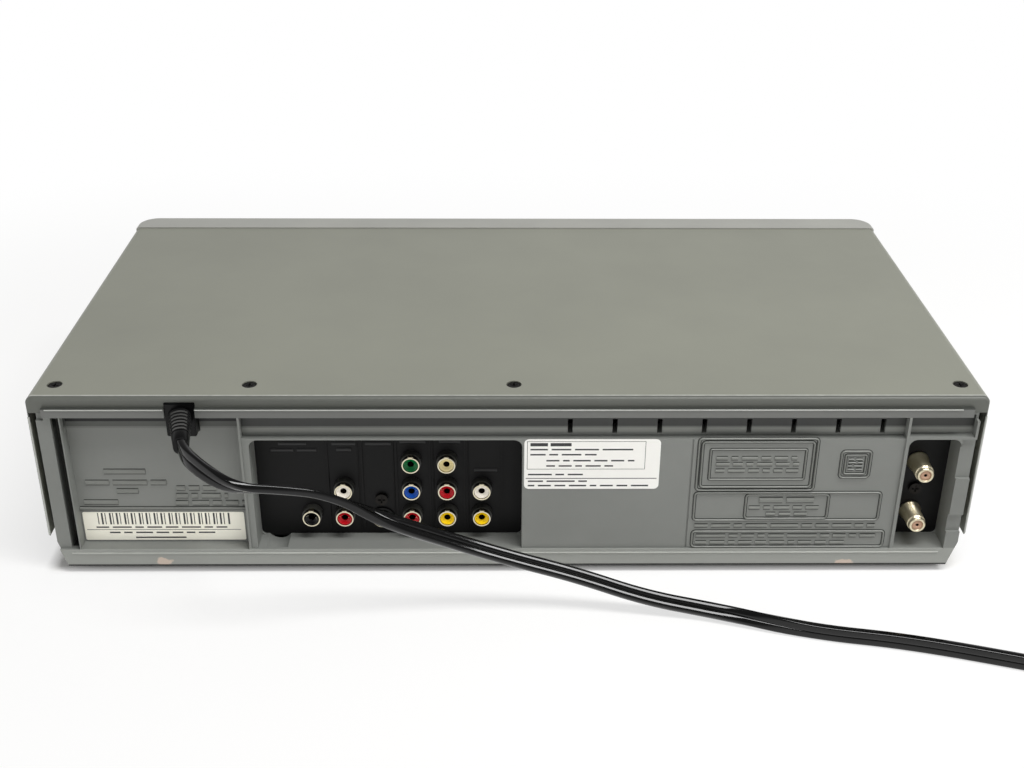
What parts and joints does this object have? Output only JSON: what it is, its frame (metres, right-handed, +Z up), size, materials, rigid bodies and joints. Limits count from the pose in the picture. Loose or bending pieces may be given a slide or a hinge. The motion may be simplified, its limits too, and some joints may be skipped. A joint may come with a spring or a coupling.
{
  "type": "cassette and disc player",
  "caption": "Low wide cassette and disc player with a stepped moulded rear panel, phono and aerial sockets, tape deck, disc tray and a coiled mains cord.",
  "frame": {"origin": "on the floor under the middle of the case", "axes": "+X is the right-hand side seen from the front, -Y is the front, +Z is up"},
  "size_m": [0.5831, 0.3291, 0.094],
  "materials": {
    "cover_paint": "satin",
    "grey_moulding": "matte",
    "black_moulding": "matte",
    "silver_front": "satin",
    "black_gloss": "gloss",
    "rubber_foot": "matte",
    "screw_steel": "satin",
    "nickel": "polished",
    "phono_core": "gloss",
    "cord_rubber": "gloss",
    "smoked_window": "gloss",
    "board": "matte",
    "winding": "matte",
    "tin_plate": "brushed",
    "zinc_steel": "satin",
    "drum_alloy": "polished",
    "white_acetal": "satin",
    "roller_rubber": "matte"
  },
  "bodies": {
    "case": {"top_cover": "cover_paint", "rear_panel": "grey_moulding", "bottom_chassis": "grey_moulding", "front_panel": "silver_front", "feet": "rubber_foot", "screws": "screw_steel", "jack_inserts": "black_moulding", "phono_sleeves": "black_moulding", "phono_rings": "nickel", "phono_cores": "phono_core", "din_socket": "black_moulding", "aerial_sockets": "nickel", "strain_relief": "cord_rubber", "mains_cord": "cord_rubber", "mains_coil": "cord_rubber", "mains_plug": "cord_rubber", "display_window": "smoked_window", "control_board": "board", "main_board": "board", "mains_transformer": "winding", "tuner_can": "tin_plate", "jack_board": "board", "deck_plate": "zinc_steel", "carriage_frame": "zinc_steel", "lower_drum": "drum_alloy", "loading_motor": "tin_plate", "loader_frame": "black_moulding", "tray_motor": "tin_plate"},
    "door": {"cassette_door": "black_gloss"},
    "carriage": {"carriage_slider": "zinc_steel"},
    "holder": {"cassette_holder": "zinc_steel"},
    "supply": {"supply_reel": "white_acetal"},
    "takeup": {"takeup_reel": "white_acetal"},
    "drum": {"upper_drum": "drum_alloy"},
    "capstan_wheel": {"capstan": "zinc_steel"},
    "pinch": {"pinch_arm": "zinc_steel"},
    "roller": {"pinch_roller": "roller_rubber"},
    "guide_left": {"supply_guide": "white_acetal"},
    "guide_right": {"takeup_guide": "white_acetal"},
    "cam": {"cam_gear": "white_acetal"},
    "loading_gear": {"loading_pinion": "white_acetal"},
    "tray": {"disc_tray": "black_moulding", "tray_front": "silver_front"},
    "tray_drive": {"tray_gear": "white_acetal"},
    "tray_motor_gear": {"motor_pinion": "white_acetal"},
    "traverse_plate": {"traverse": "zinc_steel"},
    "sled": {"pickup_sled": "black_moulding"},
    "disc_table": {"turntable": "black_moulding"},
    "disc_clamp": {"clamper": "white_acetal"},
    "power_key": {"power_button": "silver_front"},
    "rewind_key": {"rewind_button": "silver_front"},
    "play_key": {"play_button": "silver_front"},
    "forward_key": {"forward_button": "silver_front"},
    "stop_eject_key": {"stop_eject_button": "silver_front"},
    "record_key": {"record_button": "silver_front"},
    "channel_down_key": {"channel_down_button": "silver_front"},
    "channel_up_key": {"channel_up_button": "silver_front"},
    "disc_play_key": {"disc_play_button": "silver_front"},
    "disc_open_key": {"disc_open_button": "silver_front"}
  },
  "joints": [
    {"name": "door_swing", "type": "hinge", "parent": "case", "child": "door", "pos_m": [-0.106, -0.1113, 0.0808], "axis": [1, 0, 0], "range_deg": [0, 80], "stiffness_Nm_per_rad": 0.02},
    {"name": "carriage_slide", "type": "slide", "parent": "case", "child": "carriage", "axis": [0, 1, 0], "range_m": [0, 0.03]},
    {"name": "holder_drop", "type": "slide", "parent": "carriage", "child": "holder", "axis": [0, 0, -1], "range_m": [0, 0.022]},
    {"name": "supply_spin", "type": "hinge", "parent": "case", "child": "supply", "pos_m": [-0.152, -0.036, 0.0235], "axis": [0, 0, 1], "continuous": true},
    {"name": "takeup_spin", "type": "hinge", "parent": "case", "child": "takeup", "pos_m": [-0.06, -0.036, 0.0235], "axis": [0, 0, 1], "continuous": true},
    {"name": "drum_spin", "type": "hinge", "parent": "case", "child": "drum", "pos_m": [-0.106, 0.056, 0.0235], "axis": [0.0872, 0, 0.9962], "continuous": true},
    {"name": "capstan_spin", "type": "hinge", "parent": "case", "child": "capstan_wheel", "pos_m": [-0.05, 0.026, 0.0235], "axis": [0, 0, 1], "continuous": true},
    {"name": "pinch_swing", "type": "hinge", "parent": "case", "child": "pinch", "pos_m": [-0.026, 0.03, 0.0235], "axis": [0, 0, -1], "range_deg": [0, 39]},
    {"name": "roller_spin", "type": "hinge", "parent": "pinch", "child": "roller", "pos_m": [-0.03365, 0.01152, 0.0335], "axis": [0, 0, 1], "continuous": true},
    {"name": "cam_turn", "type": "hinge", "parent": "case", "child": "cam", "pos_m": [-0.17394, 0.05217, 0.017], "axis": [0, 0, 1], "range_deg": [0, 200]},
    {"name": "loading_gear_turn", "type": "hinge", "parent": "case", "child": "loading_gear", "pos_m": [-0.19, 0.07, 0.017], "axis": [0, 0, 1], "range_deg": [-552, 2]},
    {"name": "guide_left_slide", "type": "slide", "parent": "case", "child": "guide_left", "axis": [-0.2249, 0.9744, 0], "range_m": [0, 0.0531]},
    {"name": "guide_right_slide", "type": "slide", "parent": "case", "child": "guide_right", "axis": [0.2249, 0.9744, 0], "range_m": [0, 0.0531]},
    {"name": "tray_slide", "type": "slide", "parent": "case", "child": "tray", "axis": [0, -1, 0], "range_m": [0, 0.145]},
    {"name": "tray_drive_turn", "type": "hinge", "parent": "case", "child": "tray_drive", "pos_m": [0.052, -0.08, 0.06], "axis": [0, 0, 1], "range_deg": [-2, 926]},
    {"name": "tray_motor_turn", "type": "hinge", "parent": "case", "child": "tray_motor_gear", "pos_m": [0.0718, -0.07722, 0.052], "axis": [0, 0, 1], "range_deg": [-1968, 4]},
    {"name": "traverse_tilt", "type": "hinge", "parent": "case", "child": "traverse_plate", "pos_m": [0.095, 0.062, 0.04925], "axis": [-1, 0, 0], "range_deg": [0, 4.4]},
    {"name": "sled_slide", "type": "slide", "parent": "traverse_plate", "child": "sled", "axis": [0, 1, 0], "range_m": [0, 0.036]},
    {"name": "disc_spin", "type": "hinge", "parent": "traverse_plate", "child": "disc_table", "pos_m": [0.095, -0.041, 0.06], "axis": [0, 0, 1], "continuous": true},
    {"name": "clamp_spin", "type": "hinge", "parent": "case", "child": "disc_clamp", "pos_m": [0.095, -0.041, 0.077], "axis": [0, 0, 1], "continuous": true},
    {"name": "power_press", "type": "slide", "parent": "case", "child": "power_key", "axis": [0, 1, 0], "range_m": [0, 0.0008], "stiffness_N_per_m": 400},
    {"name": "rewind_press", "type": "slide", "parent": "case", "child": "rewind_key", "axis": [0, 1, 0], "range_m": [0, 0.0008], "stiffness_N_per_m": 400},
    {"name": "play_press", "type": "slide", "parent": "case", "child": "play_key", "axis": [0, 1, 0], "range_m": [0, 0.0008], "stiffness_N_per_m": 400},
    {"name": "forward_press", "type": "slide", "parent": "case", "child": "forward_key", "axis": [0, 1, 0], "range_m": [0, 0.0008], "stiffness_N_per_m": 400},
    {"name": "stop_eject_press", "type": "slide", "parent": "case", "child": "stop_eject_key", "axis": [0, 1, 0], "range_m": [0, 0.0008], "stiffness_N_per_m": 400},
    {"name": "record_press", "type": "slide", "parent": "case", "child": "record_key", "axis": [0, 1, 0], "range_m": [0, 0.0008], "stiffness_N_per_m": 400},
    {"name": "channel_down_press", "type": "slide", "parent": "case", "child": "channel_down_key", "axis": [0, 1, 0], "range_m": [0, 0.0008], "stiffness_N_per_m": 400},
    {"name": "channel_up_press", "type": "slide", "parent": "case", "child": "channel_up_key", "axis": [0, 1, 0], "range_m": [0, 0.0008], "stiffness_N_per_m": 400},
    {"name": "disc_play_press", "type": "slide", "parent": "case", "child": "disc_play_key", "axis": [0, 1, 0], "range_m": [0, 0.0008], "stiffness_N_per_m": 400},
    {"name": "disc_open_press", "type": "slide", "parent": "case", "child": "disc_open_key", "axis": [0, 1, 0], "range_m": [0, 0.0008], "stiffness_N_per_m": 400}
  ],
  "couplings": [
    {"joint": "loading_gear_turn", "follows": "cam_turn", "ratio": -2.75},
    {"joint": "guide_left_slide", "follows": "cam_turn", "m_per_rad": 0.015183},
    {"joint": "guide_right_slide", "follows": "cam_turn", "m_per_rad": 0.015183},
    {"joint": "tray_drive_turn", "follows": "tray_slide", "rad_per_m": 111.11},
    {"joint": "tray_motor_turn", "follows": "tray_slide", "rad_per_m": -236.11}
  ]
}
